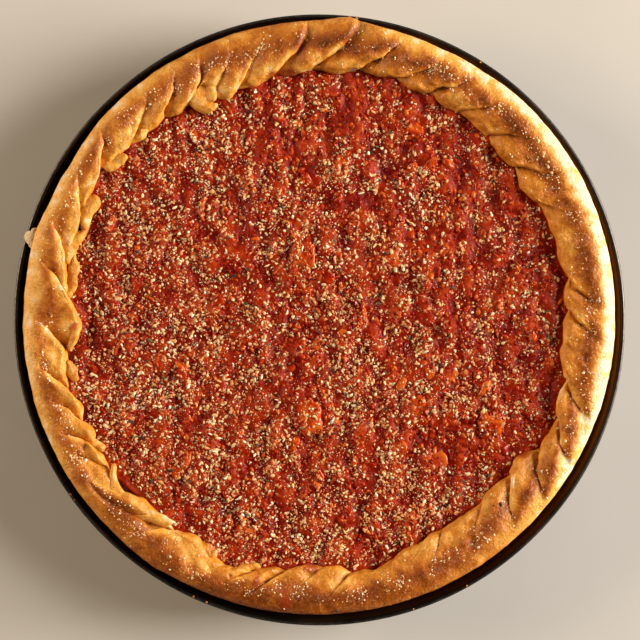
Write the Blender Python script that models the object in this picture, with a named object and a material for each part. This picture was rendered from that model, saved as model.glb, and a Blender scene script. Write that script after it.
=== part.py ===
"""Deep dish pizza, whole and uncut, in its own round tin.

The tin is thin sheet steel with a rolled rim. The pizza is one dough body that fills the tin and
stands proud of the rim, its edge pinched into slanting, overlapping folds. The folds ring a shallow
well, which holds the tomato topping, and the larger pieces of tomato lie half sunk in it.
Metres, +Z up. The origin is the middle of the tin's underside, and the tin stands on Z = 0.
"""

import math

import bmesh
import bpy
from mathutils import Matrix, Vector, noise

MM = 0.001
GAP = 0.35 * MM                     # air between pieces that touch

# Tin: a 12 inch round, 38 mm deep
RIM_RADIUS = 155.5 * MM             # outside of the rolled rim
RIM_HEIGHT = 38.0 * MM
RIM_BEAD_RADIUS = 1.1 * MM
SHEET = 0.9 * MM
FLOOR_RADIUS = 145.2 * MM           # flat part of the tin's floor
CORNER_RADIUS = 4.0 * MM
PAN_STEPS = 60
CORNER_STEPS = 2
BEAD_STEPS = 5

# Crust edge
EDGE_RADIUS = 150.5 * MM            # mean outer edge of the baked dough, seen from above
EDGE_WAVES = ((1, 1.25, 98.0), (2, 0.7, 55.0))          # lobes, mm, direction of the first peak
EDGE_BULGES = ((84.5, 2.3, 4.0), (164.0, 5.0, 1.6))     # direction, mm, half width in degrees
CREST_HEIGHT = 44.5 * MM
EDGE_HEIGHT = 39.2 * MM             # where the dough is widest, just above the tin's rim
TIP_HEIGHT = 41.0 * MM              # top of the folds' inner tips
NOSE_HEIGHT = 36.4 * MM             # where the folds' inner tips meet the topping
CREST_AT = 0.6                      # place of the crest from the tips (0) to the outer edge (1)
NOSE_SHARE = 0.16                   # share of the inner slope that rounds down into the tip
CREST_SWELL = 0.7 * MM              # the crest rises and falls this much round the edge

# Folds, going round anticlockwise: width in degrees, and how far from the centre the tip stops in mm
FIRST_CREASE = 2.5
FOLDS = (
    (8, 125), (9, 125.5), (9, 127), (10, 122), (9.5, 124), (8.5, 127), (8.5, 126), (8, 126),
    (9, 127), (10.5, 125.5), (9, 125), (8.5, 123), (5.5, 121.5), (6, 119), (6.5, 126.5), (7, 129),
    (11.5, 131.5), (10, 132), (11, 130.5), (8.5, 129), (11, 121), (10, 131.5), (6.5, 127.5), (7, 128.5),
    (5, 129.5), (20.5, 126.5), (10, 126.5), (5.5, 131.5), (4.5, 128), (7.5, 127), (7.5, 124), (7, 125),
    (9, 129), (8, 124.5), (5.5, 122.5), (11.5, 122.5), (9, 122), (9, 122.5), (8, 125.5), (9, 127),
    (9, 123.5), (6.5, 123.5),
)
FOLD_PLACES = (0.0, 0.14, 0.44, 0.76)   # columns of points across each fold
LIP_PLACE = 0.18                    # the lip of a fold, just past its crease
FOLD_SLANT = 7.5                    # degrees that a crease turns on its way in
FOLD_DEPTH_SHOULDER = 0.15 * MM
FOLD_DEPTH_CREST = 1.1 * MM
FOLD_DEPTH_TIP = 3.2 * MM
NOTCH_DEPTH = 3.4 * MM              # the inner edge draws back this far between tips
SLOPE_ROWS = (0.0, 0.04, 0.15, 0.34, 0.56, 0.78, 0.93, 1.0)

# Tomato topping
WELL_FLOOR = 29.0 * MM
TOPPING_HEIGHT = 36.9 * MM
TOPPING_RELIEF = 1.1 * MM
TOPPING_LUMP = 21.0 * MM            # spacing of the swells in the topping
TOPPING_RINGS = (0.92, 0.75, 0.5, 0.25)

# Larger tomato pieces: direction, mm from the centre, mm long, mm wide, turn in degrees
TOMATO_PIECES = (
    (82, 78, 13, 8, 80), (40, 48, 13, 9, 110), (104, 33, 17, 11, 65), (64, 107, 11, 9, 20),
    (263, 50, 18, 14, 50), (329, 102, 15, 12, 150), (318, 66, 12, 9, 60), (251, 115, 13, 10, 140),
)
TOMATO_THICKNESS = 7.0 * MM
TOMATO_PROUD = 1.3 * MM             # how far a piece stands above the topping round it
TOMATO_UNEVEN = 0.22


def clear_scene():
    for thing in list(bpy.data.objects):
        bpy.data.objects.remove(thing, do_unlink=True)


def material(name, colour, roughness, metallic=0.0):
    made = bpy.data.materials.new(name)
    made.use_nodes = True
    shader = made.node_tree.nodes["Principled BSDF"]
    shader.inputs["Base Color"].default_value = (*colour, 1.0)
    shader.inputs["Roughness"].default_value = roughness
    shader.inputs["Metallic"].default_value = metallic
    return made


def node_object(name, mesh_data, look):
    made = bpy.data.objects.new(name, mesh_data)
    bpy.context.scene.collection.objects.link(made)
    mesh_data.materials.append(look)
    return made


def mix(low, high, share):
    return low + (high - low) * share


def on_circle(angle, radius, height):
    """Point at an angle in degrees, a radius and a height."""
    turn = math.radians(angle)
    return Vector((radius * math.cos(turn), radius * math.sin(turn), height))


def arc(centre_r, centre_z, radius, start, end, steps):
    """Points of a turned profile's round stretch, from one angle to another in degrees."""
    turns = [math.radians(mix(start, end, i / steps)) for i in range(steps + 1)]
    return [(centre_r + radius * math.cos(a), centre_z + radius * math.sin(a)) for a in turns]


# Tin ------------------------------------------------------------------------------------------

def pan_wall_radius(height):
    """Inside radius of the tin's wall, which leans out from the rounded corner to the rim."""
    low_z = SHEET + CORNER_RADIUS
    top_z = RIM_HEIGHT - RIM_BEAD_RADIUS
    low_r = FLOOR_RADIUS + CORNER_RADIUS
    top_r = RIM_RADIUS - 2 * RIM_BEAD_RADIUS
    return mix(low_r, top_r, (height - low_z) / (top_z - low_z))


def pan_profile():
    """Cross-section from the inside of the floor, over the rim, to the underside's centre."""
    corner_z = SHEET + CORNER_RADIUS
    bead_r = RIM_RADIUS - RIM_BEAD_RADIUS
    bead_z = RIM_HEIGHT - RIM_BEAD_RADIUS
    inside = arc(FLOOR_RADIUS, corner_z, CORNER_RADIUS, -90, 0, CORNER_STEPS)
    bead = arc(bead_r, bead_z, RIM_BEAD_RADIUS, 180, -70, BEAD_STEPS)
    under_bead = [(pan_wall_radius(bead_z) + SHEET, bead_z - 1.2 * RIM_BEAD_RADIUS)]
    outside = arc(FLOOR_RADIUS, corner_z, CORNER_RADIUS + SHEET, 0, -90, CORNER_STEPS)
    return [(0.0, SHEET), *inside, *bead, *under_bead, *outside, (0.0, 0.0)]


def build_pan(look):
    shape = bmesh.new()
    corners = [shape.verts.new((r, 0.0, z)) for r, z in pan_profile()]
    for first, second in zip(corners, corners[1:]):
        shape.edges.new((first, second))
    mesh_data = bpy.data.meshes.new("pan")
    shape.to_mesh(mesh_data)
    shape.free()
    pan = node_object("pan", mesh_data, look)
    turn = pan.modifiers.new("turned", "SCREW")
    turn.axis = "Z"
    turn.steps = turn.render_steps = PAN_STEPS
    turn.use_merge_vertices = True
    turn.merge_threshold = 0.00005
    turn.use_smooth_shade = True


# Folds ----------------------------------------------------------------------------------------

def fold_columns():
    """(angle of the crease at its inner end, fold number, place across the fold) of every column."""
    columns = []
    crease = FIRST_CREASE
    for number, (width, _) in enumerate(FOLDS):
        columns += [(crease + width * place, number, place) for place in FOLD_PLACES]
        crease += width
    return columns


def fold_rise(place):
    """0 in the crease, 1 on the lip just past it, then a long fall to the next crease."""
    if place < LIP_PLACE:
        return math.sin(math.pi / 2 * place / LIP_PLACE)
    return 1.0 - ((place - LIP_PLACE) / (1.0 - LIP_PLACE)) ** 1.6


def tip_radius(number, place):
    """Inner edge of the dough: it reaches in at each tip and draws back between tips."""
    neighbour = number + (1 if place > 0.5 else -1)
    reach = FOLDS[number][1]
    other = FOLDS[neighbour % len(FOLDS)][1]
    blended = mix(reach, other, abs(place - 0.5)) * MM
    return blended + NOTCH_DEPTH * (1.0 - math.sin(math.pi * place ** 0.8))


def edge_radius(angle):
    """Outer edge of the dough, seen from above."""
    radius = EDGE_RADIUS
    for lobes, size, peak in EDGE_WAVES:
        radius += size * MM * math.cos(math.radians(lobes * (angle - peak)))
    for direction, size, spread in EDGE_BULGES:
        away = (angle - direction + 180.0) % 360.0 - 180.0
        radius += size * MM * math.exp(-((away / spread) ** 2))
    return radius


def slope_height(across):
    """Height of the dough's top from the tips (0), over the crest, to the outer edge (1)."""
    if across > CREST_AT:
        out = (across - CREST_AT) / (1.0 - CREST_AT)
        roundness = math.sqrt(max(0.0, 1.0 - out ** 2.2))
        return mix(EDGE_HEIGHT, CREST_HEIGHT, roundness)
    inward = 1.0 - across / CREST_AT
    height = CREST_HEIGHT - (CREST_HEIGHT - TIP_HEIGHT) * inward ** 1.5
    nose = max(0.0, (inward - 1.0 + NOSE_SHARE) / NOSE_SHARE)
    return height - (TIP_HEIGHT - NOSE_HEIGHT) * (1.0 - math.sqrt(1.0 - nose * nose))


def fold_depth(across):
    if across > CREST_AT:
        return mix(FOLD_DEPTH_CREST, FOLD_DEPTH_SHOULDER, (across - CREST_AT) / (1.0 - CREST_AT))
    return mix(FOLD_DEPTH_TIP, FOLD_DEPTH_CREST, across / CREST_AT)


def slope_row(across):
    """One ring of points on the dough's top."""
    row = []
    for crease, number, place in fold_columns():
        angle = crease - FOLD_SLANT * (1.0 - (1.0 - across) ** 2)
        outer = edge_radius(crease - FOLD_SLANT)
        inner = tip_radius(number, place)
        swell = CREST_SWELL * noise.noise(on_circle(crease, 2.0, 0.0))
        drop = fold_depth(across) * (1.0 - fold_rise(place)) * min(1.0, across / SLOPE_ROWS[1])
        height = slope_height(across) + swell * across - drop
        row.append(on_circle(angle, mix(inner, outer, across), height))
    return row


def wall_row(height, inset):
    """One ring of points on the dough's side, which bakes against the tin and shrinks off its top."""
    row = []
    for crease, _, _ in fold_columns():
        outer = min(edge_radius(crease - FOLD_SLANT), EDGE_RADIUS + 1.2 * MM) - inset
        radius = min(outer, pan_wall_radius(height) - GAP)
        row.append(on_circle(crease - FOLD_SLANT, radius, height))
    return row


def build_crust(look):
    corner_z = SHEET + CORNER_RADIUS
    corner = arc(FLOOR_RADIUS, corner_z, CORNER_RADIUS - GAP, 0, -90, 1)
    columns = fold_columns()
    rings = [[on_circle(crease, tip_radius(number, place), WELL_FLOOR) for crease, number, place in columns]]
    rings += [slope_row(across) for across in SLOPE_ROWS]
    rings += [wall_row(RIM_HEIGHT - 2.6 * MM, 1.0 * MM), wall_row(22.0 * MM, 0.8 * MM)]
    for radius, height in corner:
        rings.append([on_circle(crease - FOLD_SLANT, radius, height) for crease, _, _ in columns])
    node_object("crust", closed_rings("crust", rings, WELL_FLOOR, SHEET + GAP), look)


def closed_rings(name, rings, first_middle, last_middle):
    """A closed mesh of rings of points, capped by a fan at each end. The first cap faces up."""
    shape = bmesh.new()
    rows = [[shape.verts.new(point) for point in ring] for ring in rings]
    count = len(rows[0])
    for upper, lower in zip(rows, rows[1:]):
        for i in range(count):
            after = (i + 1) % count
            shape.faces.new((upper[i], lower[i], lower[after], upper[after]))
    top = shape.verts.new((0.0, 0.0, first_middle))
    bottom = shape.verts.new((0.0, 0.0, last_middle))
    for i in range(count):
        after = (i + 1) % count
        shape.faces.new((top, rows[0][i], rows[0][after]))
        shape.faces.new((bottom, rows[-1][after], rows[-1][i]))
    for face in shape.faces:
        face.smooth = True
    mesh_data = bpy.data.meshes.new(name)
    shape.to_mesh(mesh_data)
    shape.free()
    return mesh_data


# Topping --------------------------------------------------------------------------------------

def topping_height(x, y):
    """Uneven top of the crushed tomato: broad swells with smaller ones on them."""
    place = Vector((x, y, 0.0)) / TOPPING_LUMP
    return TOPPING_HEIGHT + TOPPING_RELIEF * (noise.noise(place) + 0.5 * noise.noise(place * 2.3))


def topping_ring(share, height=None):
    ring = []
    for angle, number, place in fold_columns():
        spot = on_circle(angle, (tip_radius(number, place) - GAP) * share, 0.0)
        spot.z = topping_height(spot.x, spot.y) if height is None else height
        ring.append(spot)
    return ring


def build_topping(look, pockets):
    underside = WELL_FLOOR + GAP
    rings = [topping_ring(share) for share in reversed((1.0, *TOPPING_RINGS))]
    rings.append(topping_ring(1.0, underside))
    mesh_data = closed_rings("tomato_topping", rings, topping_height(0.0, 0.0), underside)
    topping = node_object("tomato_topping", mesh_data, look)
    for pocket in pockets:
        cut = topping.modifiers.new(pocket.name, "BOOLEAN")
        cut.operation = "DIFFERENCE"
        cut.object = pocket


def tomato_mesh(name, size, grow, seed):
    """A rounded lump, dented by noise, of a given length, width and thickness, grown by a margin."""
    shape = bmesh.new()
    bmesh.ops.create_icosphere(shape, subdivisions=2, radius=1.0)
    for corner in shape.verts:
        dent = 1.0 + TOMATO_UNEVEN * noise.noise(corner.co * 1.2 + Vector((seed * 3.1, 0.0, 0.0)))
        corner.co = Vector(side * half * dent + side * grow for side, half in zip(corner.co, size))
    for face in shape.faces:
        face.smooth = True
    mesh_data = bpy.data.meshes.new(name)
    shape.to_mesh(mesh_data)
    shape.free()
    return mesh_data


def build_tomato_pieces(look):
    """Each piece and the pocket that it lies in, which is the same lump a little larger."""
    pockets = []
    for seed, (direction, away, long, wide, turn) in enumerate(TOMATO_PIECES, 1):
        size = (long * MM / 2, wide * MM / 2, TOMATO_THICKNESS / 2)
        spot = on_circle(direction, away * MM, 0.0)
        spot.z = topping_height(spot.x, spot.y) + TOMATO_PROUD - TOMATO_THICKNESS / 2
        place = Matrix.Translation(spot) @ Matrix.Rotation(math.radians(turn), 4, "Z")
        name = f"tomato_piece_{seed}"
        pocket_name = f"pocket_{seed}"
        piece = node_object(name, tomato_mesh(name, size, 0.0, seed), look)
        pocket = node_object(pocket_name, tomato_mesh(pocket_name, size, GAP, seed), look)
        piece.matrix_world = pocket.matrix_world = place
        pocket.hide_render = True
        pocket.display_type = "WIRE"
        pockets.append(pocket)
    return pockets


def build():
    clear_scene()
    steel = material("seasoned_steel", (0.045, 0.042, 0.04), 0.42, 0.85)
    dough = material("baked_dough", (0.58, 0.27, 0.08), 0.55)
    tomato = material("crushed_tomato", (0.36, 0.035, 0.012), 0.3)
    chunk = material("tomato_flesh", (0.55, 0.08, 0.03), 0.25)
    build_pan(steel)
    build_crust(dough)
    build_topping(tomato, build_tomato_pieces(chunk))


build()
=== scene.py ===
import functools
import math

import bmesh
import bpy
import numpy as np
from mathutils import Euler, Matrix, Quaternion, Vector, noise
from mathutils.bvhtree import BVHTree


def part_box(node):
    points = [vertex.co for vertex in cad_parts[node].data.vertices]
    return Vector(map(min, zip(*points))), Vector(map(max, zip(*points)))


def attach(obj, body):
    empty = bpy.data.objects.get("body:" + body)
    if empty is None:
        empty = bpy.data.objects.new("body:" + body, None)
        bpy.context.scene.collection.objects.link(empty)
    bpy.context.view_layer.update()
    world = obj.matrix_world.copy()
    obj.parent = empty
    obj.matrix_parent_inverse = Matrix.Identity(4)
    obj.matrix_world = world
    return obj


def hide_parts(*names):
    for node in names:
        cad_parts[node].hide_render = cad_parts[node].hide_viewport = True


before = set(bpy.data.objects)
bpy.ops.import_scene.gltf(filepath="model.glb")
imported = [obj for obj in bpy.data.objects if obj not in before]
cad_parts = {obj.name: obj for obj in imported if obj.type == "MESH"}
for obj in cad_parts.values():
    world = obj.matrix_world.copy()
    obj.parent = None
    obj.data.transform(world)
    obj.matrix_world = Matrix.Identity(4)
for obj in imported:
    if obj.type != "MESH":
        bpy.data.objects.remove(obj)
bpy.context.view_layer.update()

mm = 0.001               # everything below is in metres
seeds = {"folds": 11, "bits": 21, "pulp": 25, "crustCheese": 33, "herbs": 45, "specks": 51, "crumbs": 57,
         "coarse": 61, "fine": 67}


# small helpers

def hexColour(code):
    # sRGB hex to the linear colour that Blender's sockets take
    values = [int(code[i:i + 2], 16) / 255 for i in (1, 3, 5)]
    return tuple(v / 12.92 if v <= 0.04045 else ((v + 0.055) / 1.055) ** 2.4 for v in values) + (1.0,)


def fillInputs(tree, node, inputs):
    # links an input where it is given a socket, else sets its value
    for name, value in inputs.items():
        if isinstance(value, bpy.types.NodeSocket):
            tree.links.new(value, node.inputs[name])
        else:
            node.inputs[name].default_value = value


def addNode(tree, kind, inputs=None, stops=None, out=0, **settings):
    # adds a shader node with its settings and inputs and returns one output; stops are a ramp's (place, hex)
    node = tree.nodes.new("ShaderNode" + kind)
    for name, value in settings.items():
        setattr(node, name, value)
    if stops:
        ramp = node.color_ramp
        while len(ramp.elements) < len(stops):
            ramp.elements.new(0.5)
        for element, (place, code) in zip(ramp.elements, stops):
            element.position = place
            element.color = hexColour(code)
    fillInputs(tree, node, inputs or {})
    return node.outputs[out]


def newMaterial(name):
    # returns a material with a Principled shader, what adds a node to it, what fills the shader, and its space
    made = bpy.data.materials.new(name)
    made.use_nodes = True
    tree = made.node_tree
    tree.nodes.clear()
    shader = tree.nodes.new("ShaderNodeBsdfPrincipled")
    output = tree.nodes.new("ShaderNodeOutputMaterial")
    tree.links.new(shader.outputs["BSDF"], output.inputs["Surface"])
    add = functools.partial(addNode, tree)
    return made, add, functools.partial(fillInputs, tree, shader), add("TexCoord", out="Object")


def meshPiece(name, points, faces, material, marks=None, smooth=True):
    # a mesh object from arrays, with one float attribute for each entry of marks
    data = bpy.data.meshes.new(name)
    data.from_pydata(points, [], faces)
    for mark, values in (marks or {}).items():
        layer = data.attributes.new(mark, "FLOAT", "POINT")
        layer.data.foreach_set("value", np.ascontiguousarray(values, np.float32).ravel())
    data.polygons.foreach_set("use_smooth", np.full(len(data.polygons), smooth))
    data.materials.append(material)
    data.update()
    piece = bpy.data.objects.new(name, data)
    bpy.context.scene.collection.objects.link(piece)
    return piece


def settle(piece, slotName, *nodes):
    # every piece rides on the one body; some stand for a CAD node
    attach(piece, "root")
    if nodes:
        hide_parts(*nodes)
    print(piece.name, len(piece.data.polygons), "faces")


def noiseAt(points, size, shift=0.0):
    # smooth noise from about -1 to 1 at every point; size is the width of its swells in metres
    scaled = np.asarray(points).reshape(-1, 3) / size + shift
    return np.array([noise.noise(p) for p in scaled.tolist()]).reshape(np.shape(points)[:-1])


def noisePush(points, size, shifts):
    # an uneven push at every point, with one noise for each direction
    return np.stack([noiseAt(points, size, shift) for shift in shifts], -1)


def unit(values):
    return np.clip(values, 0, 1)


def bump(value, centre, width):
    return np.exp(-((value - centre) / width) ** 2)


def turnGap(angle, direction):
    # signed difference of two directions in degrees, from -180 to 180
    return (angle - direction + 180.0) % 360.0 - 180.0


def bumpsRound(angle, spots):
    # bumps at some directions round the ring, each (direction, half width, size)
    return sum(size * bump(turnGap(angle, direction), 0, half) for direction, half, size in spots)


def onCircle(angle, radius, height):
    turn = np.radians(angle)
    return np.stack([radius * np.cos(turn), radius * np.sin(turn), height + 0.0 * turn], -1)


def bearing(points):
    # direction of every point from the middle, in degrees
    return np.degrees(np.arctan2(points[..., 1], points[..., 0])) % 360


def ringFaces(rows, columns, flipEnds=False):
    # quads between rings of points, and fans that close both ends to the two points after the last ring
    count, last, faces, ends = rows * columns, (rows - 1) * columns, [], []
    for row in range(rows - 1):
        for column in range(columns):
            after = (column + 1) % columns
            a, b = row * columns, (row + 1) * columns
            faces.append((a + column, b + column, b + after, a + after))
    for column in range(columns):
        after = (column + 1) % columns
        ends += [(count, column, after), (count + 1, last + after, last + column)]
    return faces + [end[::-1] if flipEnds else end for end in ends]


def sheetFaces(index):
    # quads of a square grid of point numbers
    corners = [index[:-1, :-1], index[:-1, 1:], index[1:, 1:], index[1:, :-1]]
    return np.stack(corners, -1).reshape(-1, 4).tolist()


def turnMatrices(count, rng):
    # rotations of things that tumbled any way round
    return np.array([Quaternion(q).normalized().to_matrix() for q in rng.normal(size=(count, 4))])


def lyingTurns(count, rng, tilt, spread=math.pi):
    # rotations of things that lie nearly flat: any bearing within the spread, tipped a little
    spin, tip, roll = rng.uniform(-spread, spread, count), rng.normal(0, tilt, count), rng.normal(0, tilt, count)
    return np.array([Euler(turn).to_matrix() for turn in zip(roll, tip, spin)])


def ballShape(subdivisions):
    # points and faces of a unit ball to start a lump or a grain from
    shape = bmesh.new()
    bmesh.ops.create_icosphere(shape, subdivisions=subdivisions, radius=1.0)
    shape.verts.ensure_lookup_table()
    points = np.array([v.co for v in shape.verts])
    faces = np.array([[v.index for v in f.verts] for f in shape.faces])
    shape.free()
    return points, faces


def diamondShape():
    # eight faces, for the finest grains
    points = np.array([(1, 0, 0), (-1, 0, 0), (0, 1, 0), (0, -1, 0), (0, 0, 1), (0, 0, -1)], float)
    faces = [(0, 2, 4), (2, 1, 4), (1, 3, 4), (3, 0, 4), (2, 0, 5), (1, 2, 5), (3, 1, 5), (0, 3, 5)]
    return points, np.array(faces)


def scatterCopies(shape, places, sizes, turns, jitter, rng):
    # many uneven copies of one small shape, joined; returns points, faces and each point's copy number
    points, faces = shape
    count, corners = len(places), len(points)
    shapes = points[None] * (1 + rng.uniform(-jitter, jitter, (count, corners, 1)))
    shapes = np.einsum("nij,nkj->nki", turns, shapes * sizes[:, None, :])
    allPoints = (shapes + places[:, None, :]).reshape(-1, 3)
    allFaces = (faces[None] + corners * np.arange(count)[:, None, None]).reshape(-1, faces.shape[1])
    return allPoints, allFaces.tolist(), np.repeat(np.arange(count), corners)


# materials

def bakedDoughMaterial():
    # bread dough with oil, baked: pale gold where it rose against the tin, tan inside, brown on top; painted shade
    # darkens the creases and the sides turned from the lamps
    made, add, fill, place = newMaterial("bakedDoughOiledCrust")
    marks = ("brownAndShade", "stained", "creaseShade", "dusky", "oiled")
    brownAndShade, stained, creaseShade, dusky, oiled = (add("Attribute", out="Fac", attribute_name=mark) for mark in marks)
    # blotches about 7 mm wide, where the oven's heat caught the dough unevenly
    blotch = add("TexNoise", {"Vector": place, "Scale": 140.0, "Detail": 5.0, "Roughness": 0.62})
    shifted = add("Math", {0: blotch, 1: -0.5}, operation="ADD")
    # the tone is the browning with its blotches, and also painted shade and painted light by direction round the
    # ring
    brownAndShadeTone = add("Math", {0: shifted, 1: 0.8, 2: brownAndShade}, operation="MULTIPLY_ADD", use_clamp=True)
    colour = add("ValToRGB", {"Fac": brownAndShadeTone}, stops=(
        (0.0, "#F6DDB6"), (0.12, "#F3B654"), (0.36, "#CC7E28"), (0.6, "#A4520B"), (0.82, "#783404"),
        (1.0, "#502003")))
    soaked = add("Math", {0: oiled, 1: blotch}, operation="MULTIPLY", use_clamp=True)
    # small flecks of darker and paler crumb, 1 to 1.5 mm
    fleck = add("TexNoise", {"Vector": place, "Scale": 750.0, "Detail": 4.0, "Roughness": 0.7})
    darkCrumb = add("MapRange", {"Value": fleck, "From Min": 0.53, "From Max": 0.7, "To Max": 0.5})
    paleCrumb = add("MapRange", {"Value": fleck, "From Min": 0.46, "From Max": 0.3, "To Max": 0.45})
    dulled = add("Math", {0: dusky, 1: 0.4}, operation="MULTIPLY", use_clamp=True)
    runs = add("TexNoise", {"Vector": place, "Scale": 420.0, "Detail": 4.0, "Roughness": 0.7})
    wetted = add("Math", {0: runs, 1: stained}, operation="ADD")
    tomatoRun = add("MapRange", {"Value": wetted, "From Min": 0.98, "From Max": 1.3, "To Max": 0.85})
    # every layer lies over the ones before it
    for mask, code in (
            (soaked, "#E3982C"),         # oil soaked into the lips turns them golden
            (darkCrumb, "#7E3C08"),
            (paleCrumb, "#E9B469"),
            (dulled, "#8F4C1E"),         # the longest baked skin loses its orange and turns a dusky brown
            (tomatoRun, "#9C3A12"),      # tomato that ran onto the tips of the folds
            (creaseShade, "#5A3012")):       # painted shade: the bottoms of the creases are darkened
        colour = add("Mix", {0: mask, 6: colour, 7: hexColour(code)}, out=2, data_type="RGBA")
    # pores and wrinkles of the skin, 0.6 to 2 mm
    pores = add("TexNoise", {"Vector": place, "Scale": 900.0, "Detail": 4.0, "Roughness": 0.65})
    skin = add("TexNoise", {"Vector": place, "Scale": 380.0, "Detail": 3.0, "Distortion": 0.6})
    height = add("Math", {0: pores, 1: 0.5, 2: skin}, operation="MULTIPLY_ADD")
    relief = add("Bump", {"Strength": 0.75, "Distance": 0.9 * mm, "Height": height})
    gloss = add("MapRange", {"Value": skin, "From Min": 0.3, "From Max": 0.7, "To Min": 0.2, "To Max": 0.5})
    fill({"Base Color": colour, "Roughness": gloss, "Normal": relief, "IOR": 1.45, "Specular IOR Level": 0.42,
          "Subsurface Weight": 0.06, "Subsurface Scale": 1.5 * mm, "Subsurface Radius": (1.0, 0.5, 0.25)})
    return made


def crushedTomatoMaterial():
    # tomato crushed by hand and baked: deep wet red, brighter where the flesh is thick, orange where oil pools
    made, add, fill, place = newMaterial("crushedTomatoWetCooked")
    raised = add("Attribute", out="Fac", attribute_name="raised")
    pulp = add("TexNoise", {"Vector": place, "Scale": 260.0, "Detail": 7.0, "Roughness": 0.75, "Distortion": 0.8})
    ripe = add("Math", {0: pulp, 1: 1.3, 2: raised}, operation="MULTIPLY_ADD")
    spread = add("MapRange", {"Value": ripe, "From Min": 0.5, "From Max": 1.4})
    reds = add("ValToRGB", {"Fac": spread}, stops=(
        (0.0, "#540500"), (0.3, "#7B1002"), (0.58, "#9C2406"), (0.8, "#BC4210"), (1.0, "#D66A24")))
    # patches of oil and seed jelly 20 to 30 mm across
    patch = add("TexNoise", {"Vector": place, "Scale": 38.0, "Detail": 4.0, "Roughness": 0.6})
    oily = add("MapRange", {"Value": patch, "From Min": 0.55, "From Max": 0.75, "To Max": 0.45})
    colour = add("Mix", {0: oily, 6: reds, 7: hexColour("#B5420F")}, out=2, data_type="RGBA")
    fibre = add("TexNoise", {"Vector": place, "Scale": 620.0, "Detail": 4.0, "Distortion": 1.0})
    height = add("Math", {0: fibre, 1: 0.4, 2: pulp}, operation="MULTIPLY_ADD")
    relief = add("Bump", {"Strength": 0.8, "Distance": 0.7 * mm, "Height": height})
    gloss = add("MapRange", {"Value": pulp, "From Min": 0.3, "From Max": 0.7, "To Min": 0.12, "To Max": 0.24})
    fill({"Base Color": colour, "Roughness": gloss, "Normal": relief, "IOR": 1.38, "Specular IOR Level": 0.22,
          "Subsurface Weight": 0.12, "Subsurface Scale": 2.0 * mm, "Subsurface Radius": (1.0, 0.2, 0.1)})
    return made


def seasonedSteelMaterial():
    # rolled sheet steel under baked-on oil: dark and satin, brownish in places, bare on the rim's edge, with a
    # painted brown reflection of the lit crust on one side of the inner wall
    made, add, fill, place = newMaterial("sheetSteelSeasonedRolled")
    worn, paintedCrustReflection = (add("Attribute", out="Fac", attribute_name=mark) for mark in ("worn", "paintedCrustReflection"))
    cloud = add("TexNoise", {"Vector": place, "Scale": 42.0, "Detail": 6.0, "Roughness": 0.6})
    colour = add("ValToRGB", {"Fac": cloud}, stops=(
        (0.3, "#1B1716"), (0.5, "#2A2421"), (0.68, "#3B2C20"), (0.8, "#4A3725")))
    # scuffs up to 2 mm wide, from stacking and wiping, take the oil off the edges
    scuff = add("TexNoise", {"Vector": place, "Scale": 420.0, "Detail": 5.0, "Roughness": 0.7})
    rub = add("Math", {0: scuff, 1: worn}, operation="MULTIPLY")
    rubbed = add("MapRange", {"Value": rub, "From Min": 0.25, "From Max": 0.6})
    # painted reflection: the brown film stands for the lit crust's light on the inner wall; the scuffs are bare
    # steel
    for mask, code in ((paintedCrustReflection, "#96601C"), (rubbed, "#5E5B58")):
        colour = add("Mix", {0: mask, 6: colour, 7: hexColour(code)}, out=2, data_type="RGBA")
    grain = add("TexNoise", {"Vector": place, "Scale": 900.0, "Detail": 3.0})
    relief = add("Bump", {"Strength": 0.18, "Distance": 0.1 * mm, "Height": grain})
    gloss = add("MapRange", {"Value": cloud, "From Min": 0.3, "From Max": 0.7, "To Min": 0.3, "To Max": 0.5})
    metal = add("MapRange", {"Value": paintedCrustReflection, "To Min": 0.85, "To Max": 0.1})
    fill({"Base Color": colour, "Metallic": metal, "Roughness": gloss, "Normal": relief})
    return made


def mottledMaterial(name, grain, stops, looks, mark=None, gain=1.0, middle=0.5, relief=None):
    # one noise sets the tone and the fine relief; the mark gives every lump or grain a tone of its own
    made, add, fill, place = newMaterial(name)
    mottle = tone = add("TexNoise", {"Vector": place, **grain})
    if mark:
        own = add("Attribute", out="Fac", attribute_name=mark)
        shifted = add("Math", {0: mottle, 1: -middle}, operation="ADD") if middle else mottle
        tone = add("Math", {0: shifted, 1: gain, 2: own}, operation="MULTIPLY_ADD", use_clamp=True)
    fill({"Base Color": add("ValToRGB", {"Fac": tone}, stops=stops), **looks})
    if relief:
        fill({"Normal": add("Bump", {"Strength": relief[0], "Distance": relief[1], "Height": mottle})})
    return made


def tomatoFleshMaterial():
    # firm tomato flesh with its skin off: brighter and more orange than the crushed tomato, wet
    return mottledMaterial(
        "tomatoFleshWetPeeled", {"Scale": 280.0, "Detail": 5.0, "Roughness": 0.6, "Distortion": 1.2},
        ((0.1, "#700A01"), (0.4, "#981C04"), (0.65, "#B8390C"), (0.9, "#D2621C")),
        {"Roughness": 0.14, "IOR": 1.38, "Specular IOR Level": 0.34, "Subsurface Weight": 0.2,
         "Subsurface Scale": 2.0 * mm, "Subsurface Radius": (1.0, 0.25, 0.12)},
        mark="ripe", gain=1.2, relief=(0.5, 0.3 * mm))


def gratedCheeseMaterial():
    # hard cheese, finely grated and baked: cream crumbs, some toasted tan, some stained by the tomato
    return mottledMaterial(
        "hardCheeseGratedToasted", {"Scale": 1500.0, "Detail": 2.0},
        ((0.0, "#FDEED4"), (0.25, "#F6D4A0"), (0.5, "#E9AE70"), (0.72, "#D68446"), (0.88, "#BC5C2A"),
         (1.0, "#983A1A")),
        {"Roughness": 0.42, "IOR": 1.45, "Subsurface Weight": 0.45, "Subsurface Scale": 0.8 * mm,
         "Subsurface Radius": (1.0, 0.55, 0.25)},
        mark="toasted", gain=0.35, relief=(0.4, 0.15 * mm))


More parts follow.
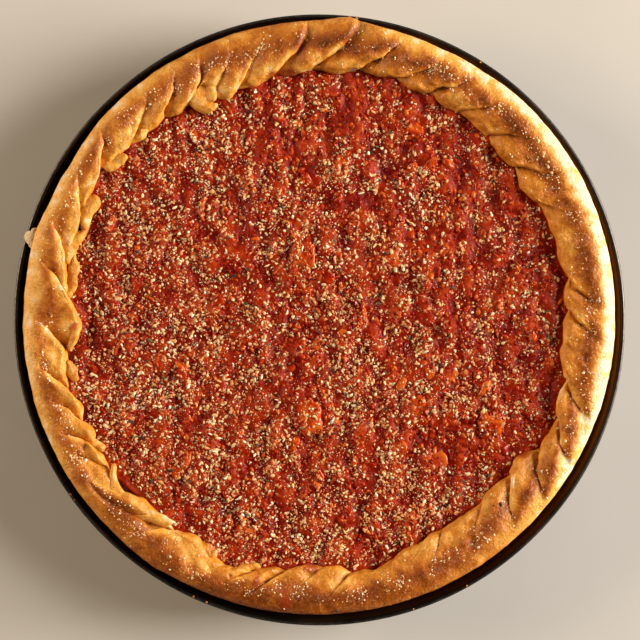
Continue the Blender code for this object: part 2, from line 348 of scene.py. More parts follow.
def driedHerbMaterial():
    # oregano and basil, dried and crushed: matt grey-green leaf, nearly black where it took up oil
    return mottledMaterial(
        "driedHerbCrushedLeaf", {"Scale": 1200.0, "Detail": 2.0},
        ((0.1, "#15160C"), (0.5, "#30341E"), (0.85, "#585C38"), (1.0, "#86855A")),
        {"Roughness": 0.7}, mark="tint", gain=0.4, middle=0.0)


def scorchMaterial():
    # flour and dough burnt black in the oven: matt and cindery
    return mottledMaterial(
        "burntDoughCinder", {"Scale": 1400.0, "Detail": 3.0}, ((0.35, "#0C0908"), (0.7, "#2E1D12")),
        {"Roughness": 0.6}, relief=(0.7, 0.2 * mm))


def paleFloorMaterial():
    # a painted board, matt and nearly even, so that nothing distracts from the dish
    return mottledMaterial(
        "boardPaintedMatt", {"Scale": 9.0, "Detail": 4.0}, ((0.3, "#C9C7C3"), (0.7, "#CFCDC9")), {"Roughness": 0.7})


# tin: a round of thin steel with a rolled rim

tin = {
    "rimRadius": 155.5 * mm, "rimHeight": 38.0 * mm, "beadRadius": 1.1 * mm, "sheet": 0.9 * mm,
    "floorRadius": 145.2 * mm, "cornerRadius": 4.0 * mm, "around": 256, "dent": 0.12 * mm,
    "floorSteps": 8, "cornerSteps": 8, "wallSteps": 14, "beadSteps": 20,
    "paintedReflectionSide": 12.0,                   # direction of the side of the wall where the crust's reflection is painted on
}


def profileArc(centreR, centreZ, radius, start, end, steps):
    turns = np.radians(np.linspace(start, end, steps + 1))
    return np.stack([centreR + radius * np.cos(turns), centreZ + radius * np.sin(turns)], -1)


def tinWallRadius(height):
    # inside radius of the leaning wall
    low = tin["sheet"] + tin["cornerRadius"]
    high = tin["rimHeight"] - tin["beadRadius"]
    lowRadius = tin["floorRadius"] + tin["cornerRadius"]
    highRadius = tin["rimRadius"] - 2 * tin["beadRadius"]
    return lowRadius + (highRadius - lowRadius) * (height - low) / (high - low)


def straightRun(first, second, steps):
    shares = np.linspace(0, 1, steps + 2)[1:-1, None]
    return np.array(first) * (1 - shares) + np.array(second) * shares


def makeTin(material):
    corner, around = tin["cornerRadius"], tin["around"]
    cornerZ = tin["sheet"] + corner
    beadR, beadZ = tin["rimRadius"] - tin["beadRadius"], tin["rimHeight"] - tin["beadRadius"]
    inner = profileArc(tin["floorRadius"], cornerZ, corner, -90, 0, tin["cornerSteps"])
    outer = profileArc(tin["floorRadius"], cornerZ, corner + tin["sheet"], 0, -90, tin["cornerSteps"])
    bead = profileArc(beadR, beadZ, tin["beadRadius"], 180, -120, tin["beadSteps"])
    # the sheet's edge is rolled back against the wall, which leaves a fine groove under the bead
    groove = np.array([(tinWallRadius(beadZ - 1.5 * mm) + tin["sheet"], beadZ - 1.25 * tin["beadRadius"])])
    run = np.concatenate([
        straightRun((0.0, tin["sheet"]), inner[0], tin["floorSteps"]), inner,
        straightRun(inner[-1], bead[0], tin["wallSteps"]), bead, groove,
        straightRun(groove[0], outer[0], tin["wallSteps"]), outer,
        straightRun(outer[-1], (0.0, 0.0), tin["floorSteps"])])
    angles = np.arange(around) * 360 / around
    points = np.concatenate([onCircle(angles, r, z) for r, z in run])
    # knocks of use: the wall is out of true by a tenth of a millimetre or so
    push = tin["dent"] * noiseAt(points, 45 * mm, 3.0) * unit(points[:, 2] / tin["rimHeight"])
    points[:, :2] *= (1 + push / np.maximum(np.hypot(points[:, 0], points[:, 1]), 0.01))[:, None]
    points = np.concatenate([points, [(0, 0, tin["sheet"]), (0, 0, 0)]])
    radius = np.hypot(points[:, 0], points[:, 1])
    worn = bump(radius, tin["rimRadius"] - 0.7 * mm, 0.8 * mm) * (points[:, 2] > tin["rimHeight"] - 1.6 * mm)
    worn += 0.7 * bump(points[:, 2], 0.6 * mm, 1.0 * mm) * (radius > tin["floorRadius"])
    # painted reflection: a brown film on the inside of the tin, on one side, stands for the lit crust's light
    # thrown onto the wall above it
    row = np.append(np.repeat(np.arange(len(run)), around), (0, len(run)))
    inside = row < tin["floorSteps"] + len(inner) + tin["wallSteps"]
    facing = 0.5 + 0.5 * np.cos(np.radians(bearing(points) - tin["paintedReflectionSide"]))
    paintedCrustReflection = facing ** 2.5 * inside * (worn < 0.2)
    marks = {"worn": worn, "paintedCrustReflection": paintedCrustReflection}
    return meshPiece("roundTin", points, ringFaces(len(run), around), material, marks)


# crust: one ring of dough, its edge pinched over into slanting folds like a rope

crust = {
    # each fold, anticlockwise: its width in degrees and how far from the centre its tip stops in mm,
    # then how deep the crease before it is, and how far up it runs (0 is the tip, 1 is the outer edge)
    "folds": (
        (8, 125, 0.7, 0.6), (9, 125.5, 0.75, 0.62), (9, 127, 0.05, 0.3), (10, 122, 0.5, 0.34),
        (9.5, 124, 0.95, 0.62), (8.5, 127, 0.55, 0.42), (8.5, 126, 0.5, 0.6), (8, 126, 0.8, 0.64),
        (9, 127, 0.75, 0.62), (10.5, 125.5, 1.15, 0.78), (9, 125, 1.25, 1.5), (8.5, 123, 1.3, 0.98),
        (5.5, 121.5, 0.6, 0.5), (6, 126, 0.5, 0.5), (6.5, 126.5, 1.25, 0.76), (7, 129, 1.0, 0.7),
        (11.5, 131.5, 0.6, 0.5), (10, 132, 1.15, 0.62), (11, 130.5, 0.75, 0.5), (8.5, 129, 1.25, 0.62),
        (11, 121, 1.35, 0.66), (10, 131.5, 1.2, 0.68), (6.5, 127.5, 1.2, 0.66), (7, 128.5, 0.95, 0.6),
        (5, 129.5, 1.25, 0.68), (20.5, 126.5, 0.6, 0.5), (10, 126.5, 0.9, 0.5), (5.5, 134, 0.12, 0.3),
        (4.5, 131, 0.12, 0.3), (7.5, 127.5, 0.7, 0.46), (7.5, 124, 0.9, 0.64), (7, 125, 0.35, 0.32),
        (9, 129, 0.8, 0.36), (8, 124.5, 0.1, 0.3), (5.5, 122.5, 0.1, 0.3), (11.5, 122.5, 0.35, 0.4),
        (9, 122, 0.35, 0.45), (9, 122.5, 0.85, 0.8), (8, 130, 0.85, 0.9), (9, 127, 0.8, 0.95),
        (9, 123.5, 0.85, 0.9), (6.5, 123.5, 0.15, 0.4),
    ),
    # how far round the creases run as they rise, in degrees: a span, and the ones that differ
    "slant": (7.2, 8.8), "slantOf": {10: 10.2, 11: 9.0},
    "firstCrease": 2.5, "columnsPerDegree": 3.85, "leastColumns": 18, "acrossSteps": 48, "blendPasses": 60,
    "sharp": (10, 11),                  # these two creases run right across and stay sharp
    "gaps": ((220.6, 3.2, 6.5), (117.8, 1.7, 6.5)),    # where the dough stands back: direction, degrees, mm
    # outer edge: waves (how many round the ring, size in mm, where), bulges (direction, half width, size in mm)
    "edgeRadius": 150.5 * mm, "edgeWaves": ((1, 1.25, 98.0), (2, 0.7, 55.0)),
    "edgeBulges": ((84.5, 4.0, 2.3), (164.0, 3.0, 0.8), (235.0, 4.0, 0.6), (62.0, 13.0, -1.1), (150.0, 10.0, -1.3)),
    "crestHeight": 44.3 * mm, "edgeHeight": 39.0 * mm, "tipHeight": 41.2 * mm, "noseHeight": 36.4 * mm,
    "crestAt": 0.61, "twist": 0.26, "noseShare": 0.17,
    "creaseDepth": 3.2 * mm, "pillow": 2.4 * mm, "lip": 1.1 * mm, "overhang": 1.9 * mm,
    # where the ridges slant more: direction, half width, how much
    "ropey": ((332.0, 22.0, 2.5), (84.0, 12.0, 1.5), (160.0, 14.0, 1.3)),
    # pits and knobs of the skin: direction, mm from the centre, width in mm, depth in mm
    "dents": (
        (352.0, 136.0, 1.5, 1.3), (353.4, 133.6, 1.8, -0.8), (342.6, 130.8, 0.9, 0.9), (208.4, 135.4, 1.7, 2.2),
        (244.8, 131.4, 3.0, 1.6), (304.4, 137.2, 2.6, 1.5), (305.8, 134.0, 1.7, -1.2), (302.6, 132.2, 1.8, -1.0),
        (309.0, 131.8, 1.4, 1.2), (250.8, 137.0, 1.0, 1.4), (239.0, 139.0, 2.6, -0.9), (244.0, 137.0, 2.2, -0.8),
        (60.4, 130.4, 2.0, -0.8), (67.6, 129.4, 2.2, -0.9), (17.6, 134.4, 2.2, 0.8), (25.6, 137.2, 2.0, 0.9),
        (35.0, 137.0, 2.4, 0.9), (293.0, 140.0, 3.0, -0.9), (230.2, 133.6, 1.0, 1.6),
    ),
    # a second roll behind a long crease, where the edge was pinched twice: middle and half width in degrees,
    # the crease's line (direction, mm out), its depth and the roll's height
    "double": (226.5, 11.5), "doubleLine": ((216, 142.5), (222, 139.8), (229, 134.9), (236, 130.2)),
    "doubleDepth": 2.3 * mm, "doubleRise": 1.2 * mm,
    "swells": ((13.0, 1.2), (5.6, 0.6)),              # width and size in mm of the uneven push of the dough
    "skin": ((6.0, 0.38, 0.0), (2.6, 0.26, 7.0), (1.3, 0.11, 3.0)),     # width and size in mm, which noise
    # where the skin blistered: direction, half width, size in mm
    "lumpy": ((56.0, 26.0, 0.65), (18.0, 12.0, 0.5), (92.0, 9.0, 0.3), (111.5, 7.0, 0.6), (351.0, 10.0, 0.6),
              (207.0, 9.0, 0.3), (250.0, 10.0, 0.45), (280.0, 5.0, 0.3), (303.0, 7.0, 0.5)),
    "wander": 0.9, "notch": 3.4 * mm,                 # how far the creases stray, how far they cut in
    # foot of the crust's faces: height, and how far back or in, in mm; then its underside: mm out, height
    "wellWall": ((29.0, 1.4), (33.0, 1.4), (35.6, 1.0)),
    "sideWall": ((37.6, 0.5), (36.2, 1.2), (33.0, 0.9), (27.0, 0.6), (18.0, 0.3), (5.2, 0.0)),
    "underside": ((147.6, 2.2), (145.0, 1.3)),
    # browning: everywhere, along the ridges, less on the outer shoulder, less on the lips
    "baseBrown": 0.2, "ridgeBrown": 0.42, "shoulderPale": 0.16, "lipPale": 0.15,
    # extra browning by direction, mostly painted shade on the sides turned from the lamps and painted light on the
    # sides turned to them: direction, how narrow, how much
    "shoulderPaintedLightAndShade": ((264, 2, 0.62), (98, 6, 0.3), (5, 1, -0.14), (172, 3, -0.05)),
    "slopePaintedLightAndShade": ((48, 3, 0.15), (318, 4, 0.06), (165, 4, -0.07)), "leastBrown": 0.12,
    # tomato stains: direction, mm out, half width in degrees
    "stains": ((97, 126, 2.2), (182, 124, 2.5), (209, 126, 2.2), (216, 127, 2.0), (254, 129, 3.0), (268, 126, 3.0),
               (327, 124, 2.5), (263.4, 145, 1.4), (262.4, 140, 1.0), (256.4, 136, 0.8), (101, 125, 2.0)),
}


foldWidths, foldReach, foldDeep, foldFade = np.array(crust["folds"], float).T


def foldColumns():
    # for every column of points: angle of the crease at its inner end, fold number, place across the fold
    angles, numbers, places = [], [], []
    crease = crust["firstCrease"]
    for number, width in enumerate(foldWidths.tolist()):
        count = max(crust["leastColumns"], round(width * crust["columnsPerDegree"]))
        share = np.arange(count) / count
        place = share - 0.09 * np.sin(2 * math.pi * share)       # closer together beside the crease
        angles += list(crease + width * place)
        numbers += [number] * count
        places += list(place)
        crease += width
    return np.array(angles), np.array(numbers), np.array(places)


def perFold(numbers, places, values):
    # a value that belongs to each crease, blended from one crease to the next
    after = np.roll(values, -1)
    share = unit((places - 0.25) / 0.5)
    return values[numbers] * (1 - share) + after[numbers] * share


def tipRadius(numbers, places):
    reach = foldReach * mm
    side = np.where(places > 0.5, 1, -1)
    other = reach[(numbers + side) % len(reach)]
    share = np.abs(places - 0.5)
    blended = reach[numbers] * (1 - share) + other * share
    deep = perFold(numbers, places, foldDeep)
    return blended + crust["notch"] * np.clip(deep, 0.25, 1.1) * (1 - np.sin(math.pi * places ** 0.8))


def edgeRadius(angle):
    radius = np.full_like(angle, crust["edgeRadius"])
    for lobes, size, peak in crust["edgeWaves"]:
        radius = radius + size * mm * np.cos(np.radians(lobes * (angle - peak)))
    return radius + bumpsRound(angle, crust["edgeBulges"]) * mm


def slopeHeight(across, crestAt):
    # height of the roll of dough: nose, slope up to the ridge, then the round shoulder
    crest, edge, tip, nose = (crust[k] for k in ("crestHeight", "edgeHeight", "tipHeight", "noseHeight"))
    out = unit((across - crestAt) / (1 - crestAt))
    inward = unit(1 - across / crestAt)
    shoulder = crest - (crest - edge) * (1 - np.sqrt(unit(1 - out ** 1.75)))
    curl = unit(1 - across / (crust["noseShare"] * crust["crestAt"]))
    slope = crest - (crest - tip) * inward ** 1.4 - (tip - nose) * (1 - np.sqrt(1 - curl * curl))
    return np.where(across > crestAt, shoulder, slope)


def foldTraits(numbers, places):
    # slant, reach, depth, twist and lift of the creases, for every column
    rng = np.random.default_rng(seeds["folds"])
    count = len(foldWidths)
    slant = rng.uniform(*crust["slant"], count)
    for number, value in crust["slantOf"].items():
        slant[number] = value
    twist = rng.uniform(0.7, 1.2, count) * np.clip(foldDeep, 0.15, 1.0)
    creaseAt = crust["firstCrease"] + np.cumsum(foldWidths) - foldWidths
    for direction, half, more in crust["ropey"]:
        twist = np.where(np.abs(turnGap(creaseAt, direction)) < half, twist * more, twist)
    lift = rng.uniform(-0.7, 0.5, count) * mm
    return [perFold(numbers, places, trait) for trait in (slant, foldFade, foldDeep, twist, lift)]


def softenAlong(values, passes):
    # smooths each row of a grid round the ring, some rows more than others
    values = values.copy()
    for step in range(passes.max()):
        rows = passes > step
        part = values[rows]
        values[rows] = (np.roll(part, 1, 1) + 2 * part + np.roll(part, -1, 1)) / 4
    return values


def crustGrid():
    # rows run from the foot of the well's wall, over the crest, down the side and under
    angles, numbers, places = foldColumns()
    slant, fade, deep, twist, lift = foldTraits(numbers, places)
    inner = tipRadius(numbers, places) + bumpsRound(angles, crust["gaps"]) * mm
    outer = edgeRadius(angles - slant)
    across = 1 - np.cos(np.linspace(0, 1, crust["acrossSteps"]) * math.pi * 0.5) ** 1.15
    a = across[:, None]
    wander = np.stack(np.broadcast_arrays(angles[None] * 0.13, a * 2.2, 0.0), -1)
    wander = crust["wander"] * noiseAt(wander, 1.0)
    angle = angles - slant * (1 - (1 - a) ** 2.2) + wander * np.sin(math.pi * np.minimum(1, a + 0.1))
    radius = inner + (outer - inner) * a
    # the ridge of each fold slants outward like a strand of rope, until it meets the plain shoulder
    plain = unit((a - fade + 0.22) / 0.3)
    plain = plain * plain * (3 - 2 * plain)
    crestAt = crust["crestAt"] + crust["twist"] * twist * (0.5 - places)
    height = slopeHeight(a, crestAt) * (1 - plain) + slopeHeight(a, crust["crestAt"]) * plain
    ridge = a - crestAt * (1 - plain) - crust["crestAt"] * plain
    # the dough dives slowly under the next fold on one side and steps up on the other
    valley = np.maximum(np.exp(-(places / 0.07) ** 1.5), np.exp(-((1 - places) / 0.19) ** 1.5))
    arch = np.sin(math.pi * places ** 0.72) ** 0.8
    soften = np.minimum(1, a / 0.06)
    opening = unit(1 - a / fade) ** 0.8 * deep * soften
    height = height + lift * np.minimum(1, a * 3) * (1 - a) - crust["creaseDepth"] * opening * valley
    height = height + crust["pillow"] * (arch - 0.6) * deep * soften * (1 - a) ** 0.7
    height = height + crust["lip"] * bump(places, 0.12, 0.07) * opening
    # no crease reaches the outer edge, apart from the sharp ones
    passes = (crust["blendPasses"] * unit((across - 0.28) / 0.5) ** 1.4).astype(int)
    kept = np.zeros(len(foldWidths))
    kept[list(crust["sharp"])] = 1
    kept = perFold(numbers, places, kept)
    height = softenAlong(height, passes) * (1 - kept) + height * kept
    ridge = softenAlong(ridge, passes) * (1 - kept) + ridge * kept
    middle, half = crust["double"]
    double = unit(1 - (np.abs(turnGap(angle, middle)) / half) ** 4)
    creaseLine = np.interp(angle, *zip(*crust["doubleLine"])) * mm
    height = height - crust["doubleDepth"] * double * bump(radius, creaseLine, 1.3 * mm)
    height = height + crust["doubleRise"] * double * bump(radius, creaseLine - 4.5 * mm, 2.6 * mm)
    for direction, away, width, depth in crust["dents"]:
        gap = np.radians(turnGap(angle, direction)) * away * mm
        height = height - depth * mm * bump(gap, 0, width * mm) * bump(radius, away * mm, width * mm)
    reach = crust["overhang"] * bump(places, 0.08, 0.07) * unit((0.75 - a) / 0.35) * deep
    top = onCircle(angle - np.degrees(reach / radius), radius, height)
    wall = [onCircle(angles, inner + tuck * mm, 0 * angles + z * mm) for z, tuck in crust["wellWall"]]
    # the side leans on the tin's wall, a hair inside it
    side = [(np.minimum(np.minimum(outer, crust["edgeRadius"] + 1.5 * mm) - inset * mm,
                        tinWallRadius(z * mm) - 0.35 * mm), z) for z, inset in crust["sideWall"]]
    side += [(r * mm + 0 * angles, z) for r, z in crust["underside"]]
    side = [onCircle(angles - slant, out, z * mm) for out, z in side]
    grid = np.concatenate([wall, top, side])
    level = np.concatenate([np.zeros(len(wall)), across, np.ones(len(side))])[:, None]
    ridge = np.concatenate([ridge[:1]] * len(wall) + [ridge] + [ridge[-1:]] * len(side))
    return grid, level, ridge, places, fade, deep


def gridNormals(grid):
    along = np.roll(grid, -1, 1) - np.roll(grid, 1, 1)
    over = np.gradient(grid, axis=0)
    normal = np.cross(over, along)
    return -normal / np.maximum(np.linalg.norm(normal, axis=2, keepdims=True), 1e-12)


def roughenCrust(grid, level):
    # the dough's uneven push in every direction, then lumps, pores and wrinkles of its skin
    free = unit((grid[..., 2] - 30 * mm) / (6 * mm)) * np.clip(1.3 - level, 0.3, 1)
    for width, size in crust["swells"]:
        grid = grid + noisePush(grid, width * mm, (1.0, 31.0, 57.0)) * (size * mm) * free[..., None]
    normal = gridNormals(grid)
    skin = sum(size * noiseAt(grid, width * mm, shift) for width, size, shift in crust["skin"])
    blister = 1.6 * np.abs(noiseAt(grid, 6.5 * mm, 12.0)) - 0.3
    skin = skin + blister * bumpsRound(bearing(grid), crust["lumpy"])
    return grid + normal * (skin * mm * free)[..., None], normal


def makeCrust(material):
    grid, level, ridge, places, fade, deep = crustGrid()
    grid, normal = roughenCrust(grid, level)
    rows, columns = grid.shape[:2]
    radius = np.hypot(grid[..., 0], grid[..., 1])
    angle = bearing(grid)
    patch, spot, fleck = (noiseAt(grid, size * mm, shift) for size, shift in ((15, 5.0), (6, 9.0), (2.8, 4.0)))
    # browning follows the heat: most along the ridges, least on the outer shoulder and on the pinched lips
    brownAndShade = crust["baseBrown"] + crust["ridgeBrown"] * bump(ridge, -0.1, 0.17) + 0.1 * unit(-ridge / 0.5)
    brownAndShade = brownAndShade - crust["shoulderPale"] * unit((ridge - 0.08) / 0.2)
    brownAndShade = brownAndShade - crust["lipPale"] * bump(places[None], 0.12, 0.08) * unit((0.62 - level) / 0.2) * deep
    brownAndShade = brownAndShade + (0.26 * patch + 0.22 * spot + 0.12 * fleck) * np.clip(1.2 - level, 0.3, 1)
    # painted shade and light: shoulders and slopes get more brown on the sides turned from the lamps, less on the
    # sides turned to them
    shoulder = unit((level - 0.5) / 0.3)
    for part, where in (("shoulderPaintedLightAndShade", shoulder), ("slopePaintedLightAndShade", 1 - shoulder)):
        for direction, power, more in crust[part]:
            brownAndShade = brownAndShade + more * unit(np.cos(np.radians(angle - direction))) ** power * where
    # the skin took at least some colour on the side that stayed longest in the heat
    brownAndShade = np.maximum(brownAndShade, crust["leastBrown"] * unit(-np.cos(np.radians(angle))))
    brownAndShade = np.where(grid[..., 2] < 36 * mm, 0.3, brownAndShade)
    # oil from the tomato turned the lips of the folds golden
    oiled = bump(level, 0.02, 0.2) * unit(0.75 + 1.0 * patch + 0.8 * spot)
    # the skin turns dusky where it browned longest
    dusky = bump(ridge, 0.03, 0.1) * unit(0.5 + 1.3 * patch + 0.5 * spot) * (level < 0.97)
    stained = sum(bump(turnGap(angle, d), 0, w) * bump(radius, r * mm, 4.0 * mm) for d, r, w in crust["stains"])
    # painted shade: darkening along the deeper creases, strongest low down in each crease
    near = np.minimum(places / 0.5, (1 - places))[None]
    creaseShade = unit(1 - near / 0.06) * unit((fade - 0.08 - level) / 0.3) * np.clip(deep - 0.3, 0, 0.7)
    # two points in the middle close it, under the topping and on the tin's floor
    ends = [(0, 0, crust["wellWall"][0][0] * mm), (0, 0, crust["underside"][-1][1] * mm)]
    points = np.concatenate([grid.reshape(-1, 3), ends])
    marks = {"brownAndShade": unit(brownAndShade), "stained": unit(stained), "creaseShade": creaseShade,
             "dusky": dusky, "oiled": oiled}
    marks = {name: np.append(values.ravel(), (0.3, 0.3)) for name, values in marks.items()}
    piece = meshPiece("pinchedCrust", points, ringFaces(rows, columns), material, marks)
    return piece, grid, normal, level, ridge


# tucked ends and tongues of dough that show under and between the folds

flaps = {
    # each strip: top in mm, how brown, then places along it (direction, mm from the centre, half width in mm)
    "strips": (
        (42.2, 0.22, ((113.9, 138.0, 1.8), (115.0, 132.0, 2.8), (115.8, 126.4, 3.2), (115.4, 123.0, 1.6))),
        (42.0, 0.26, ((116.8, 138.5, 2.6), (117.9, 132.5, 4.6), (118.9, 127.4, 5.2), (118.3, 123.6, 4.2),
                      (116.6, 121.6, 2.2), (115.2, 120.8, 1.4))),
        (40.4, 0.34, ((131.5, 132.0, 1.5), (134.0, 130.4, 3.2), (137.0, 132.8, 2.0))),
        (40.2, 0.32, ((139.4, 128.0, 1.2), (141.5, 130.2, 3.0), (143.5, 132.0, 3.4), (145.2, 134.0, 2.0))),
        (41.0, 0.34, ((150.8, 131.0, 2.0), (152.6, 130.0, 4.4), (155.0, 130.3, 3.6), (157.5, 128.4, 2.6),
                      (159.8, 127.0, 1.6))),
        (41.2, 0.28, ((159.0, 127.0, 1.4), (161.0, 129.4, 3.4), (163.2, 132.4, 4.0), (165.5, 131.6, 3.0),
                      (167.5, 130.0, 1.8))),
        (39.6, 0.42, ((165.0, 129.4, 2.0), (168.5, 127.4, 2.8), (172.0, 126.8, 3.0), (175.5, 129.4, 2.4))),
        (41.0, 0.3, ((174.8, 131.0, 2.6), (178.0, 127.4, 4.2), (181.5, 124.6, 3.8), (184.5, 125.2, 2.2),
                     (187.0, 127.8, 1.2))),
        (40.0, 0.36, ((188.6, 131.0, 1.6), (191.2, 129.4, 3.6), (194.6, 127.4, 1.8))),
        (40.2, 0.36, ((207.0, 133.4, 2.0), (209.0, 130.4, 2.8), (211.2, 126.8, 1.6))),
        (42.6, 0.2, ((215.2, 125.6, 1.5), (216.3, 129.6, 2.0), (217.8, 133.4, 2.6), (221.0, 135.4, 3.2),
                     (225.0, 133.8, 3.6), (229.0, 131.0, 3.6), (232.5, 128.8, 2.8), (235.0, 127.0, 1.4))),
        (39.8, 0.55, ((240.5, 128.4, 1.4), (243.6, 130.0, 3.6), (247.0, 132.0, 2.2))),
        (40.2, 0.3, ((251.6, 132.0, 1.4), (254.0, 131.0, 2.4), (256.5, 129.0, 1.4))),
    ),
    "thickness": 4.6 * mm, "steps": 46, "around": 26, "rough": ((7.0, 1.3), (2.8, 0.5)), "thin": 2.6 * mm,
    # the torn scrap that stands out over the tin's rim
    "scrap": (40.2, 0.02, ((161.9, 150.4, 0.7), (162.6, 152.6, 0.9), (163.2, 151.2, 1.5), (163.8, 153.4, 2.9),
                      (164.5, 152.6, 2.3), (165.2, 151.6, 1.5), (166.1, 150.6, 0.6))),
    "scrapThickness": 0.8 * mm,
}


def doughStrip(top, knots, thickness, seed):
    # a flattened tube of dough along a curved path, closed at both ends
    steps, around = flaps["steps"], flaps["around"]
    knots = np.array(knots, float)
    share = np.linspace(0, 1, steps)
    direction, away, half = (np.interp(share, np.linspace(0, 1, len(knots)), knots[:, i]) for i in range(3))
    soft = np.ones(7) / 7
    direction, away, half = (np.convolve(np.pad(v, 3, "edge"), soft, "valid") for v in (direction, away, half))
    ends = np.sqrt(np.clip(1 - np.abs(2 * share - 1) ** 6, 0.004, 1))
    centre = onCircle(direction, away * mm, np.full(steps, top * mm - thickness / 2))
    along = np.gradient(centre, axis=0)
    along = along / np.linalg.norm(along, axis=1, keepdims=True)
    out = np.stack([along[:, 1], -along[:, 0], 0 * share], -1)
    turn = np.linspace(0, math.tau, around, endpoint=False)[None, :, None]
    wide = (half * mm * ends)[:, None, None]
    points = centre[:, None] + out[:, None] * np.cos(turn) * wide
    points = points + np.array([0, 0, 0.5]) * thickness * np.sin(turn) * ends[:, None, None]
    points = points.reshape(-1, 3)
    scale = min(1.0, thickness / flaps["thin"])        # a thin scrap is ragged, but finely
    for width, size in flaps["rough"]:
        shifts = [seed * 3.1 + shift for shift in (1.0, 21.0, 43.0)]
        points = points + scale * size * mm * noisePush(points, width * mm * scale, shifts)
    middle = [points[:around].mean(0), points[-around:].mean(0)]
    return np.concatenate([points, middle]), ringFaces(steps, around, flipEnds=True)


def makeFlaps(material):
    parts, faces, brownAndShade, stained, oiled = [], [], [], [], []
    strips = [(*strip, flaps["thickness"]) for strip in flaps["strips"]]
    strips.append((*flaps["scrap"], flaps["scrapThickness"]))
    for number, (top, brown, knots, thickness) in enumerate(strips):
        points, made = doughStrip(top, knots, thickness, number)
        start = sum(len(part) for part in parts)
        faces += [tuple(start + corner for corner in face) for face in made]
        parts.append(points)
        brownAndShade.append(0.75 * brown + 0.8 * brown * noiseAt(points, 5 * mm, number * 4.1))
        stained.append(unit((38.4 * mm - points[:, 2]) / (1.6 * mm)) * 0.6)
        oiled.append(np.full(len(points), min(0.55, 2.5 * brown)))
    marks = {"brownAndShade": unit(np.concatenate(brownAndShade)), "stained": np.concatenate(stained),
             "oiled": np.concatenate(oiled)}
    return meshPiece("doughFlaps", np.concatenate(parts), faces, material, marks)


# tomato topping: crushed tomato, level with the inside of the folds

topping = {
    "height": 36.9 * mm, "relief": 1.1 * mm, "swell": 21.0 * mm, "across": 232, "floor": 29.4 * mm,
    "lump": 8.5 * mm, "lumpHeight": 1.1 * mm, "fine": 3.0 * mm, "fineHeight": 0.6 * mm,
    "tucked": 2.2 * mm, "meanRadius": 127 * mm,
}


def toppingEdge(angle):
    # radius of the well's wall in a direction, with a little more that is tucked into the dough
    columns, numbers, places = foldColumns()
    wall = tipRadius(numbers, places)
    return np.interp(angle, columns, wall, period=360) + topping["tucked"]


def toppingHeight(points):
    # broad swells, pieces of tomato with steeper sides, and pulp
    flat = np.array(points, float)
    flat[:, 2] = 0
    swell = noiseAt(flat, topping["swell"]) + 0.5 * noiseAt(flat, topping["swell"] / 2.3)
    long = flat * (1.0, 0.62, 1.0)               # the pieces lie mostly one way, as they were spread
    lump = noiseAt(long, topping["lump"], 4.0) + 0.45 * noiseAt(long, topping["lump"] * 0.5, 9.0)
    lump = np.tanh(lump * 3.0) * 0.5 + 0.5 * lump
    fine = noiseAt(flat, topping["fine"], 2.0)
    height = topping["height"] + topping["relief"] * swell + topping["lumpHeight"] * lump
    return height + topping["fineHeight"] * fine, lump


def discGrid(count):
    # an even square grid of points, squeezed into a unit disc
    side = np.linspace(-1, 1, count)
    a, b = np.meshgrid(side, side)
    wide = np.abs(a) >= np.abs(b)
    with np.errstate(divide="ignore", invalid="ignore"):
        turn = np.where(wide, math.pi / 4 * b / a, math.pi / 2 - math.pi / 4 * a / b)
    turn = np.nan_to_num(turn)
    radius = np.where(wide, a, b)
    return radius * np.cos(turn), radius * np.sin(turn)


def makeTopping(material):
    count = topping["across"]
    x, y = discGrid(count)
    share = np.hypot(x, y).ravel()
    angle = np.degrees(np.arctan2(y, x)).ravel()
    mean = topping["meanRadius"]
    radius = share * (mean + (toppingEdge(angle) - mean) * share ** 6)
    points = onCircle(angle, radius, np.zeros_like(angle))
    height, lump = toppingHeight(points)
    points[:, 2] = height
    index = np.arange(count * count).reshape(count, count)
    faces = sheetFaces(index)
    rim = np.concatenate([index[0, :-1], index[:-1, -1], index[-1, :0:-1], index[:0:-1, 0]])
    foot = points[rim].copy()
    foot[:, 2] = topping["floor"]
    start = len(points)
    points = np.concatenate([points, foot, [(0, 0, topping["floor"])]])
    for i in range(len(rim)):
        after = (i + 1) % len(rim)
        faces.append((rim[after], rim[i], start + i, start + after))
        faces.append((start + after, start + i, start + len(rim)))
    raised = np.concatenate([np.clip(0.25 + 0.3 * lump, 0, 0.6), np.zeros(len(rim) + 1)])
    return meshPiece("crushedTomato", points, faces, material, {"raised": raised})


# pieces of tomato: the large ones stand for the CAD's, the small ones are joined into one mesh

tomatoPieces = {
    "subdivisions": 4, "stretch": 1.1, "small": 200, "smallSize": (2.6, 6.5), "smallSubdivisions": 3,
    "smallRough": ((4.2, 1.5), (1.6, 0.45)), "sunk": 0.7 * mm, "reach": 118 * mm,
    "pulp": 7800, "pulpSize": (0.9, 2.4), "pulpGap": 3.4 * mm,
}


def makeTomatoPiece(node, material, number):
    # a torn piece with a few flat faces and a ragged outline, in the place of the CAD's lump
    low, high = (np.array(corner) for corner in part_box(node))
    size, centre = (high - low) / 2, (high + low) / 2
    ball, faces = ballShape(tomatoPieces["subdivisions"])
    torn = ball * (1 + 0.42 * noiseAt(ball, 0.8, number * 3.1) + 0.3 * noiseAt(ball, 0.36, number * 1.7))[:, None]
    torn = torn * (1 - 0.2 * np.abs(noiseAt(ball * (1.0, 0.4, 1.0), 0.16, number * 2.3)))[:, None]
    torn = torn * ((0.76, 1.1, 1.0) if number % 2 else (1.0, 0.84, 1.0))
    torn = np.tanh(torn * 1.25) / math.tanh(1.25)
    shape = torn * size * tomatoPieces["stretch"] + centre
    ripe = np.full(len(shape), 0.66) + 0.4 * noiseAt(ball, 0.6, number * 5.7)
    return meshPiece("tomatoPiece%d" % number, shape, faces.tolist(), material, {"ripe": ripe})


